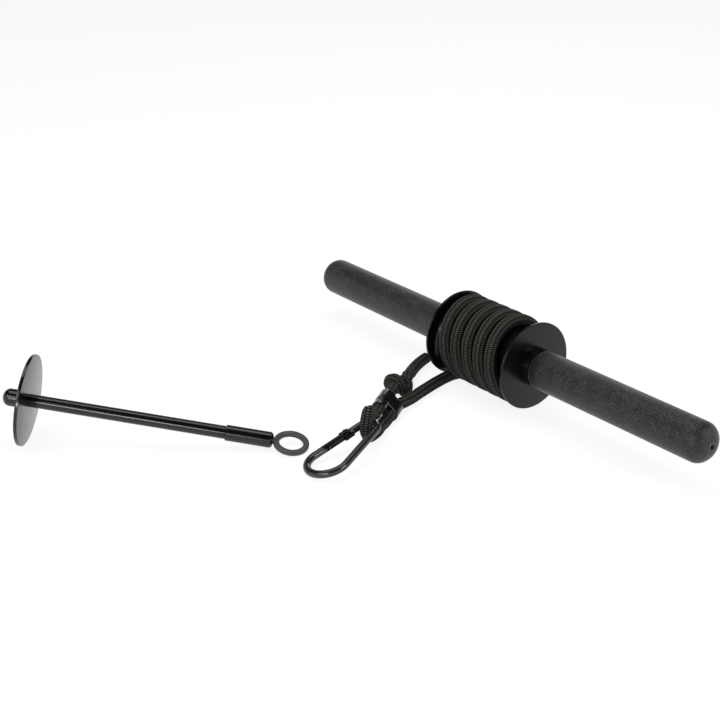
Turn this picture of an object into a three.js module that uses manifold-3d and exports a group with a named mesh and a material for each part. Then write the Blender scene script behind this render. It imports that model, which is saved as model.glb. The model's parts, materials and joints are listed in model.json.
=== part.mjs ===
// Wrist roller: a bar with foam grips and a rope spool, a snap hook on the rope, and a weight pin.
// Millimetres, +Z up. The bar lies along X and everything rests on the floor at Z = 0.
import * as THREE from 'three';
import Module from 'manifold-3d';
import { mergeVertices } from 'three/addons/utils/BufferGeometryUtils.js';

const wasm = await Module();
wasm.setup();

// Fits shared by all pieces
const clearance = 0.3;
const overrun = 2;
const bigSides = 48;
const midSides = 32;
const smallSides = 20;
const pinSides = 12;

// Bar: tube, grips, plugs
const barLength = 467;
const tubeRadius = 12.5;
const tubeWall = 2;
const gripRadius = 16.5;
const gripDomeDepth = 12;
const gripEndWall = 7;
const gripEndDepth = 3;
const gripEndLength = 5.5;
const ventRadius = 1.75;
const plugHead = 1.6;
const plugStem = 12;
const plugChamfer = 1.5;

// Spool: two halves that meet under the rope
const spoolWidth = 95;
const flangeRadius = 37.6;
const flangeThickness = 2;
const flangeEdge = 0.3;
const flareRadius = 6.5;
const hubRadius = 26.1;
const spigotRadius = 17.2;
const spigotLength = 6;
const collarRadius = 16.5;
const collarLength = 7.2;
const collarEdge = 0.5;
const drivePinRadius = 2;
const drivePinPlace = 14;
const drivePinRecess = 0.6;

// Rope and its winding
const ropeDiameter = 10.4;
const turnWidth = 12.1;
const turnPitch = 14.1;
const turnLean = 4.8;
const turnCount = 5.25;
const firstTurnPlace = -38.4;
const endBendRadius = 6;
const endLift = 0.4;
const stepsPerTurn = 24;
const windingSides = 6;
const ropeSides = 8;
const runStepShare = 1;
const eyeStepShare = 0.35;

// The rope's free stretches: chosen points, [X, Y from the bar's axis, Z above the floor]
const leadRoute = [
  [-34.3, -18, 5.5],
  [-33.4, -27, 5.4],
  [-31.6, -35.5, 5.3],
  [-29.4, -44, 5.3],
  [-26.4, -53.9, 5.3],
  [-23.1, -64.5, 5.3],
  [-19.2, -75.8, 5.4],
  [-15.9, -87, 6.1],
];
const eyeRoute = [
  [3.4, -133.7, 16.1],
  [6.9, -139.3, 19],
  [11.9, -145.1, 24],
  [16.2, -149.5, 28],
  [20, -153.3, 29.1],
  [22.7, -156.9, 24.6],
  [23.2, -158, 17.5],
  [21.4, -154.7, 10.6],
  [18.8, -149.2, 7.7],
  [16.3, -143.1, 7.5],
  [12.2, -136.8, 7.1],
  [8, -131.8, 6.1],
  [4.3, -125.3, 5.5],
];
const strandRoute = [
  [-24.2, -95, 14.8],
];
const tailRoute = [
  [-47.3, -57.8, 10.6],
  [-52.4, -51.6, 8.6],
  [-57.2, -46, 6.9],
  [-61.9, -40.6, 5.7],
  [-65.8, -34.8, 5.3],
  [-69.2, -28.8, 5.3],
  [-72.4, -22.4, 5.3],
  [-75, -16, 5.3],
  [-76.7, -10.8, 5.3],
];

// Binding sleeve round both strands, strand wrap and stopper knot
const sleevePlace = [-5.65, -115, 11.2];
const sleeveDirection = [-0.57, 0.82, 0];
const sleeveTilt = 50;
const sleeveLength = 18;
const sleeveWall = 0.8;
const strandSpacing = 11.5;
const wrapWall = 0.5;
const wrapLength = 9;
const knotEntry = [-31.4, -86.6, 13.2];
const knotExit = [-42.3, -64.4, 12];
const knotRadius = 11.6;
const knotNeckRadius = 6.5;
const knotSteps = 10;

// Snap hook: wire bent to a pear, with a gate in one arm
const wireDiameter = 6.2;
const wideBowRadius = 16.7;
const narrowBowRadius = 8.8;
const bowSpacing = 46.8;
const hookPlace = [32.8, -202.2];
const hookYaw = 102.2;
const hookPitch = 12.8;
const hookRoll = -7.6;
const hookSides = 10;
const hookSteps = 56;
const noseShoulder = 8;
const noseTongue = 6;
const latchInset = 3.4;
const latchPinRadius = 0.9;
const latchGap = 0.5;
const pivotPlace = 32;
const tongueThickness = 2.4;
const rivetRadius = 1.3;
const rivetHeadRadius = 2;
const rivetHeadHeight = 0.7;
const gateBoreRadius = 1.6;
const gateBoreDepth = 11;
const springWall = 0.45;
const plungerLength = 3.5;

// Weight pin: disc, shaft, coupling and eye ring
const discRadius = 36.7;
const discThickness = 2.8;
const discEdge = 0.4;
const discSeatDepth = 0.8;
const shaftRadius = 5.25;
const shaftLength = 156.4;
const threadRadius = 4;
const washerRadius = 9;
const washerThickness = 1.5;
const nutRadius = 7.1;
const nutLength = 16.5;
const nutDomeDepth = 6;
const nutCrown = 4;
const couplerRadius = 6.4;
const couplerLength = 37.5;
const couplerChamfer = 1.6;
const threadReach = 15;
const neckRadius = 3;
const neckLength = 0.4;
const ringRadius = 11.9;
const ringWidth = 4.7;
const ringThickness = 3.9;
const ringCorner = 1.2;
const ringRoll = 10.8;
const pinAzimuth = 48.69;
const ringPlace = [-13.3, -204.2];

const degree = Math.PI / 180;
const up = new THREE.Vector3(0, 0, 1);
const vector = ([x, y, z]) => new THREE.Vector3(x, y, z);
const ropeRadius = ropeDiameter / 2;
const wireRadius = wireDiameter / 2;

// A flange rests on the flat of its lowest facet
const axisHeight = flangeRadius * Math.cos(Math.PI / bigSides);

// Finishes
function finish(color, roughness, metalness) {
  return new THREE.MeshStandardMaterial({ color, roughness, metalness });
}
const foam = finish('#232325', 0.95, 0);
const glossPlastic = finish('#161617', 0.25, 0);
const steel = finish('#8d9094', 0.35, 1);
const polyester = finish('#2a2a29', 0.9, 0);
const shrinkSleeve = finish('#1c1c1e', 0.35, 0);
const blackWire = finish('#2b2c2e', 0.35, 0.6);
const blackPaint = finish('#17181a', 0.3, 0.2);

// Turns a closed geometry into one with merged corners, no slivers and its faces out
function closed(geometry) {
  geometry.deleteAttribute('normal');
  geometry.deleteAttribute('uv');
  const merged = mergeVertices(geometry, 1e-4);
  const corner = (i) => new THREE.Vector3().fromBufferAttribute(merged.attributes.position, i);
  const old = merged.index.array;
  const faces = [];
  let volume = 0;
  for (let i = 0; i < old.length; i += 3) {
    const [a, b, c] = [old[i], old[i + 1], old[i + 2]];
    if (a !== b && b !== c && c !== a) {
      faces.push([a, b, c]);
      volume += corner(a).dot(corner(b).cross(corner(c)));
    }
  }
  merged.setIndex(faces.flatMap(([a, b, c]) => (volume < 0 ? [a, c, b] : [a, b, c])));
  merged.computeVertexNormals();
  return merged;
}

function solidOf(geometry) {
  const mesh = closed(geometry.clone());
  return new wasm.Manifold(new wasm.Mesh({
    numProp: 3,
    vertProperties: new Float32Array(mesh.attributes.position.array),
    triVerts: new Uint32Array(mesh.index.array),
  }));
}

function geometryOf(solid) {
  const mesh = solid.getMesh();
  const geometry = new THREE.BufferGeometry();
  geometry.setAttribute('position', new THREE.BufferAttribute(new Float32Array(mesh.vertProperties), 3));
  geometry.setIndex(Array.from(mesh.triVerts));
  geometry.computeVertexNormals();
  return geometry;
}

function cut(body, ...tools) {
  return geometryOf(tools.reduce((rest, tool) => rest.subtract(solidOf(tool)), solidOf(body)));
}

function join(body, ...others) {
  return geometryOf(others.reduce((all, other) => all.add(solidOf(other)), solidOf(body)));
}

function keep(body, tool) {
  return geometryOf(solidOf(body).intersect(solidOf(tool)));
}

// A body turned about X from a profile of [radius, X], with a facet's flat at its lowest point
function turned(profile, sides) {
  const geometry = new THREE.LatheGeometry(profile.map(([r, x]) => new THREE.Vector2(r, x)), sides);
  return closed(geometry.rotateZ(-Math.PI / 2).rotateX(Math.PI / sides));
}

// A round rod along X between two places
const rod = (radius, from, to, sides) => turned([[0, from], [radius, from], [radius, to], [0, to]], sides);

// Points of a quarter ellipse from [radius, start] to [radius - depthIn, start + depthAlong]
function quarter(radius, start, depthIn, depthAlong, steps) {
  const points = [];
  for (let i = 0; i <= steps; i += 1) {
    const turn = (i / steps) * (Math.PI / 2);
    points.push([radius - depthIn * (1 - Math.cos(turn)), start + depthAlong * Math.sin(turn)]);
  }
  return points;
}

const model = new THREE.Group();
function add(parent, name, geometry, material) {
  const mesh = new THREE.Mesh(geometry, material);
  mesh.name = name;
  parent.add(mesh);
  return mesh;
}

// Bar
const bar = new THREE.Group();
bar.position.z = axisHeight;
model.add(bar);

const half = barLength / 2;
const plugFace = half - gripEndWall - clearance;
const tubeEnd = plugFace - plugHead - clearance;
const boreRadius = tubeRadius + clearance;
const tubeBore = tubeRadius - tubeWall;

// A cross pin's rod or hole, standing on the bar's axis
function crossRod(radius, reach, place) {
  return rod(radius, -reach, reach, smallSides).rotateY(Math.PI / 2).translate(place, 0, 0);
}

function coreTube() {
  const tube = turned([
    [tubeBore, -tubeEnd],
    [tubeRadius, -tubeEnd],
    [tubeRadius, tubeEnd],
    [tubeBore, tubeEnd],
    [tubeBore, -tubeEnd],
  ], midSides);
  const hole = drivePinRadius + clearance;
  const reach = tubeRadius + overrun;
  return cut(tube, crossRod(hole, reach, -drivePinPlace), crossRod(hole, reach, drivePinPlace));
}
add(bar, 'core_tube', coreTube(), steel);

// A grip starts rounded beside the spool's collar and ends in a dome
const collarEnd = spoolWidth / 2 + collarLength;
const gripStart = collarEnd + clearance;
const roundedStart = quarter(gripRadius, 0, gripEndDepth, gripEndLength, 4).reverse();
const grip = turned([
  [boreRadius, gripStart],
  ...roundedStart.map(([r, x]) => [r, gripStart + gripEndLength - x]),
  ...quarter(gripRadius, half - gripDomeDepth, gripRadius - ventRadius, gripDomeDepth, 9),
  [ventRadius, half - gripEndWall],
  [boreRadius, half - gripEndWall],
  [boreRadius, gripStart],
], midSides);
const plug = turned([
  [0, tubeEnd - plugStem],
  [tubeBore - clearance - plugChamfer, tubeEnd - plugStem],
  [tubeBore - clearance, tubeEnd - plugStem + plugChamfer],
  [tubeBore - clearance, plugFace - plugHead],
  [tubeRadius, plugFace - plugHead],
  [tubeRadius, plugFace],
  [0, plugFace],
], midSides);
for (const [side, turn] of [['right', 0], ['left', Math.PI]]) {
  add(bar, `${side}_grip`, grip, foam).rotation.z = turn;
  add(bar, `${side}_tube_plug`, plug, blackPaint).rotation.z = turn;
}

// Spool halves: the right one has a socket for the left one's spigot, and the hole for the rope's end
const rimInner = spoolWidth / 2 - flangeThickness;
const flareStart = rimInner - flareRadius;
const outerFace = [
  [flangeRadius - flangeEdge, rimInner],
  [flangeRadius, rimInner + flangeEdge],
  [flangeRadius, spoolWidth / 2 - flangeEdge],
  [flangeRadius - flangeEdge, spoolWidth / 2],
  [collarRadius, spoolWidth / 2],
  [collarRadius, collarEnd - collarEdge],
  [collarRadius - collarEdge, collarEnd],
  [boreRadius, collarEnd],
];
const flare = quarter(hubRadius, flareStart, -flareRadius, flareRadius, 5);
const rightHalf = turned([
  [boreRadius, spigotLength + clearance],
  [spigotRadius + clearance, spigotLength + clearance],
  [spigotRadius + clearance, clearance / 2],
  [hubRadius, clearance / 2],
  ...flare,
  ...outerFace,
  [boreRadius, spigotLength + clearance],
], bigSides);
const leftHalf = turned([
  [boreRadius, -spigotLength],
  [spigotRadius, -spigotLength],
  [spigotRadius, clearance / 2],
  [hubRadius, clearance / 2],
  ...flare,
  ...outerFace,
  [boreRadius, -spigotLength],
], bigSides);

// Rope line on the hub: it starts under the hub, its turns lean, and it ends in a radial hole at the back
const turnHeight = (turnWidth / 2) * Math.cos(Math.PI / windingSides);
const windRadius = (hubRadius + clearance) / Math.cos(Math.PI / stepsPerTurn) + turnHeight;
const slightTurn = 1e-3;
const easeSteps = 4;
const bendSteps = 5;
const windEnd = turnCount * 2 * Math.PI;
const liftTop = windRadius + endLift;
const bendHeight = Math.sqrt(liftTop ** 2 - endBendRadius ** 2);
const liftEnd = windEnd - Math.asin(endBendRadius / liftTop);
const liftArc = (2 * endLift * bendHeight) / (liftTop * endBendRadius);

function windingLine(angle) {
  const lift = Math.max(0, 1 - (liftEnd - angle) / liftArc);
  const radius = windRadius + endLift * lift ** 2;
  const place = firstTurnPlace + (turnPitch * angle) / (2 * Math.PI) + turnLean * Math.cos(angle);
  return new THREE.Vector3(place, radius * Math.sin(angle), -radius * Math.cos(angle));
}

const outward = new THREE.Vector3(0, Math.sin(windEnd), -Math.cos(windEnd));
const onward = new THREE.Vector3(0, Math.cos(windEnd), Math.sin(windEnd));
const holePlace = windingLine(liftEnd).x;
const ropeHole = rod(ropeRadius + clearance, tubeRadius, flangeRadius, smallSides)
  .applyQuaternion(new THREE.Quaternion().setFromUnitVectors(new THREE.Vector3(1, 0, 0), outward))
  .translate(holePlace, 0, 0);
const pinHole = crossRod(drivePinRadius + clearance, flangeRadius, drivePinPlace);
add(bar, 'right_spool_half', cut(rightHalf, ropeHole, pinHole), glossPlastic);
add(bar, 'left_spool_half', cut(leftHalf, pinHole), glossPlastic).rotation.z = Math.PI;
const drivePin = crossRod(drivePinRadius, hubRadius - drivePinRecess, drivePinPlace);
add(bar, 'right_drive_pin', drivePin, steel);
add(bar, 'left_drive_pin', drivePin, steel).rotation.z = Math.PI;

// Stations of the winding: a straight start, the turns, a bend inwards and a straight end
const startPoint = windingLine(0);
const startAlong = windingLine(slightTurn).sub(startPoint).normalize();
const turnSteps = Math.floor((liftEnd / (2 * Math.PI)) * stepsPerTurn);
const stations = [];
function station(point, along, wide) {
  stations.push({ point, along: along.clone().normalize(), wide });
}
station(startPoint.clone().addScaledVector(startAlong, -ropeDiameter), startAlong, ropeRadius);
station(startPoint.clone().addScaledVector(startAlong, -ropeRadius), startAlong, ropeRadius);
for (let i = 0; i <= turnSteps; i += 1) {
  const angle = (i / turnSteps) * liftEnd;
  const along = windingLine(angle + slightTurn).sub(windingLine(angle - slightTurn));
  const flat = THREE.MathUtils.clamp(Math.min(i, turnSteps - i) / easeSteps, 0, 1);
  const wide = THREE.MathUtils.lerp(ropeRadius, turnWidth / 2, flat);
  station(windingLine(angle), i === 0 ? startAlong : along, wide);
}
for (let i = 1; i <= bendSteps; i += 1) {
  const turn = (i / bendSteps) * (Math.PI / 2);
  const point = outward.clone().multiplyScalar(bendHeight - endBendRadius * (1 - Math.cos(turn)))
    .addScaledVector(onward, -endBendRadius * (1 - Math.sin(turn)));
  const along = onward.clone().multiplyScalar(Math.cos(turn)).addScaledVector(outward, -Math.sin(turn));
  station(point.setX(holePlace), along, ropeRadius);
}
const ropeEnd = outward.clone().multiplyScalar(boreRadius);
station(ropeEnd.setX(holePlace), outward.clone().negate(), ropeRadius);

// The section is a little wider on the hub than where the rope leaves it
function windingTube() {
  const axis = new THREE.Vector3(1, 0, 0);
  const points = [];
  const faces = [];
  stations.forEach(({ point, along, wide }) => {
    const across = axis.clone().addScaledVector(along, -axis.dot(along)).normalize();
    const rise = along.clone().cross(across);
    for (let i = 0; i < windingSides; i += 1) {
      const turn = (i / windingSides) * 2 * Math.PI;
      const spot = point.clone().addScaledVector(across, wide * Math.cos(turn))
        .addScaledVector(rise, wide * Math.sin(turn));
      points.push(spot.x, spot.y, spot.z);
    }
  });
  for (let row = 0; row + 1 < stations.length; row += 1) {
    for (let i = 0; i < windingSides; i += 1) {
      const a = row * windingSides + i;
      const b = row * windingSides + ((i + 1) % windingSides);
      faces.push(a, b, b + windingSides, a, b + windingSides, a + windingSides);
    }
  }
  const last = (stations.length - 1) * windingSides;
  for (let i = 1; i + 1 < windingSides; i += 1) {
    faces.push(0, i + 1, i, last, last + i, last + i + 1);
  }
  const geometry = new THREE.BufferGeometry();
  geometry.setAttribute('position', new THREE.Float32BufferAttribute(points, 3));
  geometry.setIndex(faces);
  return closed(geometry);
}
add(bar, 'rope_winding', windingTube(), polyester);

// Least gap of the winding to itself, measured between stations over half a turn apart
let leastGap = Infinity;
stations.forEach((one, i) => {
  stations.slice(i + stepsPerTurn / 2).forEach((other) => {
    leastGap = Math.min(leastGap, one.point.distanceTo(other.point) - one.wide - other.wide);
  });
});
console.log(`winding's least gap to itself: ${leastGap.toFixed(2)} mm`);

// A rope tube through chosen points, with a step every so many diameters
function ropeTube(points, stepShare) {
  const line = new THREE.CatmullRomCurve3(points, false, 'centripetal');
  const section = new THREE.Shape();
  section.absarc(0, 0, ropeRadius, 0, 2 * Math.PI);
  const steps = Math.max(2, Math.round(line.getLength() / (ropeDiameter * stepShare)));
  const options = { steps, curveSegments: ropeSides / 2, bevelEnabled: false, extrudePath: line };
  return closed(new THREE.ExtrudeGeometry(section, options));
}

// Sleeve, in its own frame: X from the tail's strand to the lead's strand, Z along both to the spool
const strandsUp = vector(sleeveDirection).normalize();
const sleeveAcross = strandsUp.clone().cross(up).applyAxisAngle(strandsUp, sleeveTilt * degree);
const sleeveFrame = new THREE.Matrix4()
  .makeBasis(sleeveAcross, strandsUp.clone().cross(sleeveAcross), strandsUp)
  .setPosition(vector(sleevePlace));

function inSleeve(side, along) {
  return new THREE.Vector3((side * strandSpacing) / 2, 0, along).applyMatrix4(sleeveFrame);
}

// Outline round both strands
function bandOutline(shape, radius) {
  shape.absarc(strandSpacing / 2, 0, radius, -Math.PI / 2, Math.PI / 2);
  shape.absarc(-strandSpacing / 2, 0, radius, Math.PI / 2, (3 * Math.PI) / 2);
  return shape.closePath();
}

const strandBore = ropeRadius + clearance;
const band = bandOutline(new THREE.Shape(), strandBore + sleeveWall);
band.holes.push(bandOutline(new THREE.Path(), strandBore));
const sleeve = new THREE.ExtrudeGeometry(band, {
  depth: sleeveLength,
  curveSegments: pinSides,
  bevelEnabled: false,
});
add(model, 'binding_sleeve', closed(sleeve.applyMatrix4(sleeveFrame)), shrinkSleeve);

// The rope's stretches meet half way through the sleeve
const tailSide = -1;
const leadSide = 1;
const belowMeeting = (sleeveLength - clearance) / 2;
const aboveMeeting = (sleeveLength + clearance) / 2;
const leadStart = startPoint.clone().addScaledVector(startAlong, -ropeDiameter - clearance)
  .addScaledVector(up, axisHeight);
const lead = ropeTube([
  leadStart,
  leadStart.clone().addScaledVector(startAlong, -clearance),
  ...leadRoute.map(vector),
  inSleeve(leadSide, sleeveLength),
  inSleeve(leadSide, aboveMeeting),
], runStepShare);
add(model, 'rope_lead', lead, polyester);

const eye = ropeTube([
  inSleeve(tailSide, belowMeeting),
  inSleeve(tailSide, 0),
  inSleeve(tailSide, -wrapLength / 2),
  inSleeve(tailSide, -wrapLength - ropeRadius / 2),
  ...eyeRoute.map(vector),
  inSleeve(leadSide, 0),
  inSleeve(leadSide, belowMeeting),
], eyeStepShare);
add(model, 'rope_eye', eye, polyester);

// The wrap hugs the tail's strand just below the sleeve
const wrap = turned([
  [strandBore, -clearance - wrapLength],
  [strandBore + wrapWall, -clearance - wrapLength],
  [strandBore + wrapWall, -clearance],
  [strandBore, -clearance],
  [strandBore, -clearance - wrapLength],
], smallSides).rotateY(-Math.PI / 2).translate((tailSide * strandSpacing) / 2, 0, 0);
add(model, 'strand_wrap', wrap.applyMatrix4(sleeveFrame), shrinkSleeve);

// Knot: a barrel that the strand enters and the tail leaves
const knotFrom = vector(knotEntry);
const knotTo = vector(knotExit);
const knotAlong = knotTo.clone().sub(knotFrom).normalize();
const knotLength = knotFrom.distanceTo(knotTo);
const knotProfile = [[0, 0]];
for (let i = 0; i <= knotSteps; i += 1) {
  const swell = Math.sqrt(Math.sin((Math.PI * i) / knotSteps));
  knotProfile.push([knotNeckRadius + (knotRadius - knotNeckRadius) * swell, (i / knotSteps) * knotLength]);
}
knotProfile.push([0, knotLength]);
const knot = turned(knotProfile, smallSides)
  .applyQuaternion(new THREE.Quaternion().setFromUnitVectors(new THREE.Vector3(1, 0, 0), knotAlong))
  .translate(...knotEntry);
add(model, 'stopper_knot', knot, polyester);

const strand = ropeTube([
  inSleeve(tailSide, aboveMeeting),
  inSleeve(tailSide, sleeveLength),
  ...strandRoute.map(vector),
  knotFrom.clone().addScaledVector(knotAlong, -ropeRadius),
  knotFrom.clone().addScaledVector(knotAlong, -clearance),
], runStepShare);
add(model, 'rope_strand', strand, polyester);

const tail = ropeTube([
  knotTo.clone().addScaledVector(knotAlong, clearance),
  knotTo.clone().addScaledVector(knotAlong, ropeRadius),
  ...tailRoute.map(vector),
], runStepShare);
add(model, 'rope_tail', tail, polyester);

// Snap hook, in its own frame: X from the wide bow's centre to the narrow bow, Z across the wire's plane
const hook = new THREE.Group();
hook.rotation.set(hookRoll * degree, -hookPitch * degree, hookYaw * degree, 'ZYX');
hook.position.set(...hookPlace, 0);
model.add(hook);

// The gate arm runs straight from the wide bow to the narrow bow, on the hook's +Y side
const lean = Math.asin((wideBowRadius - narrowBowRadius) / bowSpacing);
const armFrame = new THREE.Matrix4().makeRotationZ(-lean)
  .setPosition(wideBowRadius * Math.sin(lean), wideBowRadius * Math.cos(lean), 0);
const inArm = (geometry) => geometry.applyMatrix4(armFrame);
const onArm = (x) => new THREE.Vector3(x, 0, 0).applyMatrix4(armFrame);

function bow(centre, radius, from, to, steps) {
  const points = [];
  for (let i = 0; i <= steps; i += 1) {
    const turn = THREE.MathUtils.lerp(from, to, i / steps);
    points.push(new THREE.Vector3(centre + radius * Math.cos(turn), radius * Math.sin(turn), 0));
  }
  return points;
}

function between(from, to, steps) {
  const points = [];
  for (let i = 1; i < steps; i += 1) {
    points.push(from.clone().lerp(to, i / steps));
  }
  return points;
}

function hookLine() {
  const quarterTurn = Math.PI / 2;
  const wide = bow(0, wideBowRadius, quarterTurn - lean, 3 * quarterTurn + lean, 12);
  const narrow = bow(bowSpacing, narrowBowRadius, lean - quarterTurn, quarterTurn - lean, 8);
  const noseTip = onArm(noseShoulder + noseTongue);
  const pivot = onArm(pivotPlace);
  return new THREE.CatmullRomCurve3([
    noseTip,
    ...between(noseTip, wide[0], 3),
    ...wide,
    ...between(wide[wide.length - 1], narrow[0], 8),
    ...narrow,
    ...between(narrow[narrow.length - 1], pivot, 3),
    pivot,
  ], false, 'centripetal');
}

// Boxes and cross pins placed along the gate arm
function armBox([fromX, toX], [fromY, toY], [fromZ, toZ]) {
  const box = new THREE.BoxGeometry(toX - fromX, toY - fromY, toZ - fromZ);
  return box.translate((fromX + toX) / 2, (fromY + toY) / 2, (fromZ + toZ) / 2);
}
const wireReach = wireRadius + overrun;
const across = [-wireReach, wireReach];
const tongueHalf = tongueThickness / 2;
const slotHalf = tongueHalf + clearance;
const latchPlace = noseShoulder + latchInset;
const pivotShoulder = pivotPlace + wireRadius + latchGap;
const gateStart = noseShoulder + latchGap;
const slotBottom = pivotPlace - wireRadius - latchGap;

function hookBody() {
  const section = new THREE.Shape();
  section.absarc(0, 0, wireRadius, 0, 2 * Math.PI);
  const wire = new THREE.ExtrudeGeometry(section, {
    steps: hookSteps,
    curveSegments: hookSides / 2,
    bevelEnabled: false,
    extrudePath: hookLine(),
  });
  const noseEnd = noseShoulder + noseTongue + overrun;
  const cheeks = [[tongueHalf, wireReach], [-wireReach, -tongueHalf]].flatMap((side) => [
    armBox([noseShoulder, noseEnd], across, side),
    armBox([pivotPlace - overrun, pivotShoulder], across, side),
  ]);
  const latchHalf = latchPinRadius + clearance;
  const notchReach = [latchPlace - latchHalf, latchPlace + latchHalf];
  const latchNotch = armBox(notchReach, [-wireReach, latchHalf], across);
  const rivetHole = crossRod(rivetRadius + clearance, wireReach, pivotPlace);
  const tongue = crossRod(wireRadius, tongueHalf, pivotPlace);
  const tongued = join(cut(wire, ...cheeks.map(inArm)), inArm(tongue));
  return cut(tongued, inArm(latchNotch), inArm(rivetHole));
}
const hookMesh = add(hook, 'hook_body', hookBody(), blackWire);

function hookGate() {
  const blank = rod(wireRadius, gateStart, pivotPlace + wireRadius, pinSides);
  const straight = armBox([gateStart - overrun, pivotPlace], across, across);
  const rounded = keep(blank, join(straight, crossRod(wireRadius, wireReach, pivotPlace)));
  const noseEnd = noseShoulder + noseTongue + latchGap;
  const slot = [-slotHalf, slotHalf];
  return inArm(cut(
    rounded,
    armBox([gateStart - overrun, noseEnd], across, slot),
    armBox([slotBottom, pivotPlace + wireReach], across, slot),
    rod(gateBoreRadius, slotBottom - gateBoreDepth, slotBottom + overrun, pinSides),
    crossRod(latchPinRadius + clearance, wireReach, latchPlace),
    crossRod(rivetRadius + clearance, wireReach, pivotPlace),
  ));
}
add(hook, 'hook_gate', hookGate(), blackWire);

const headFrom = wireRadius + clearance;
const headTo = headFrom + rivetHeadHeight;
const rivet = turned([
  [0, -headTo],
  [rivetHeadRadius, -headTo],
  [rivetHeadRadius, -headFrom],
  [rivetRadius, -headFrom],
  [rivetRadius, headFrom],
  [rivetHeadRadius, headFrom],
  [rivetHeadRadius, headTo],
  [0, headTo],
], pinSides).rotateY(Math.PI / 2).translate(pivotPlace, 0, 0);
add(hook, 'gate_rivet', inArm(rivet), steel);
add(hook, 'gate_latch_pin', inArm(crossRod(latchPinRadius, wireRadius - clearance, latchPlace)), steel);

// Spring and plunger in the gate's bore: the plunger bears on the hook's round tongue
const plungerFace = pivotPlace - wireRadius - clearance;
const springFrom = slotBottom - gateBoreDepth + clearance;
const springTo = plungerFace - plungerLength - clearance;
const springRadius = gateBoreRadius - clearance;
const spring = turned([
  [springRadius - springWall, springFrom],
  [springRadius, springFrom],
  [springRadius, springTo],
  [springRadius - springWall, springTo],
  [springRadius - springWall, springFrom],
], pinSides);
add(hook, 'gate_spring', inArm(spring), steel);
const plunger = rod(springRadius, plungerFace - plungerLength, plungerFace, pinSides);
add(hook, 'gate_plunger', inArm(plunger), steel);

function lowest(object) {
  object.updateWorldMatrix(true, true);
  return new THREE.Box3().setFromObject(object, true).min.z;
}
hook.position.z -= lowest(hookMesh);

// Weight pin, in its own frame: X from the disc's seat face to the eye ring
const pin = new THREE.Group();
model.add(pin);
const threadBore = threadRadius + clearance;
const discBack = -discThickness;
const washerFace = discBack - clearance;
const washerBack = washerFace - washerThickness;
const nutFace = washerBack - clearance;
const nutEnd = nutFace - nutLength;

// The shaft's shoulder sits in a shallow counterbore of the disc
const disc = turned([
  [threadBore, discBack],
  [discRadius - discEdge, discBack],
  [discRadius, discBack + discEdge],
  [discRadius, -discEdge],
  [discRadius - discEdge, 0],
  [shaftRadius + clearance, 0],
  [shaftRadius + clearance, -discSeatDepth],
  [threadBore, -discSeatDepth],
  [threadBore, discBack],
], bigSides);
const discMesh = add(pin, 'pin_disc', disc, blackPaint);

const washer = turned([
  [threadBore, washerBack],
  [washerRadius, washerBack],
  [washerRadius, washerFace],
  [threadBore, washerFace],
  [threadBore, washerBack],
], smallSides);
add(pin, 'disc_washer', washer, steel);

// Cap nut with a blind thread and a domed end
const dome = quarter(nutRadius, 0, nutRadius, nutDomeDepth, 5).reverse();
const capNut = turned([
  ...dome.map(([r, x]) => [r, nutEnd + nutDomeDepth - x]),
  [nutRadius, nutFace],
  [threadBore, nutFace],
  [threadBore, nutEnd + nutCrown],
  [0, nutEnd + nutCrown],
], smallSides);
add(pin, 'cap_nut', capNut, blackPaint);

const shoulder = clearance - discSeatDepth;
const shaft = turned([
  [0, nutEnd + nutCrown + clearance],
  [threadRadius, nutEnd + nutCrown + clearance],
  [threadRadius, shoulder],
  [shaftRadius, shoulder],
  [shaftRadius, shaftLength - clearance],
  [threadRadius, shaftLength - clearance],
  [threadRadius, shaftLength + threadReach],
  [0, shaftLength + threadReach],
], smallSides);
add(pin, 'pin_shaft', shaft, blackPaint);

const couplerEnd = shaftLength + couplerLength;
const coupler = turned([
  [threadBore, shaftLength],
  [couplerRadius, shaftLength],
  [couplerRadius, couplerEnd - couplerChamfer],
  [couplerRadius - couplerChamfer, couplerEnd],
  [threadBore, couplerEnd],
  [threadBore, shaftLength],
], smallSides);
add(pin, 'eye_coupler', coupler, blackPaint);

// Eye ring of flat bar with rounded corners, on a threaded stud
const ringCentre = couplerEnd + neckLength + ringRadius + ringWidth / 2;
const [insetR, insetX] = [ringWidth / 2 - ringCorner, ringThickness / 2 - ringCorner];
const ringSection = [];
for (const [sideR, sideX] of [[1, 1], [-1, 1], [-1, -1], [1, -1]]) {
  const first = Math.atan2(sideX - sideR, sideR + sideX);
  for (let i = 0; i <= 2; i += 1) {
    const turn = first + (i / 2) * (Math.PI / 2);
    ringSection.push([
      ringRadius + sideR * insetR + ringCorner * Math.cos(turn),
      sideX * insetX + ringCorner * Math.sin(turn),
    ]);
  }
}
ringSection.push(ringSection[0]);
const ring = turned(ringSection, midSides).rotateY(-Math.PI / 2).translate(ringCentre, 0, 0);
const stud = turned([
  [0, couplerEnd - threadReach],
  [threadRadius, couplerEnd - threadReach],
  [threadRadius, couplerEnd - couplerChamfer],
  [neckRadius, couplerEnd - couplerChamfer + threadRadius - neckRadius],
  [neckRadius, ringCentre - ringRadius],
  [0, ringCentre - ringRadius],
], smallSides);
const ringMesh = add(pin, 'eye_ring', join(ring, stud).rotateX(ringRoll * degree), blackPaint);

// The pin lies on the disc's rim and the ring: its tilt is where both are equally low
let [flat, steep] = [0, Math.PI / 4];
for (let i = 0; i < 40; i += 1) {
  const tilt = (flat + steep) / 2;
  pin.rotation.set(0, tilt, pinAzimuth * degree, 'ZYX');
  if (lowest(ringMesh) > lowest(discMesh)) {
    flat = tilt;
  } else {
    steep = tilt;
  }
}
const reach = new THREE.Vector3(ringCentre, 0, 0).applyEuler(pin.rotation);
pin.position.set(ringPlace[0] - reach.x, ringPlace[1] - reach.y, -lowest(discMesh));

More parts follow.
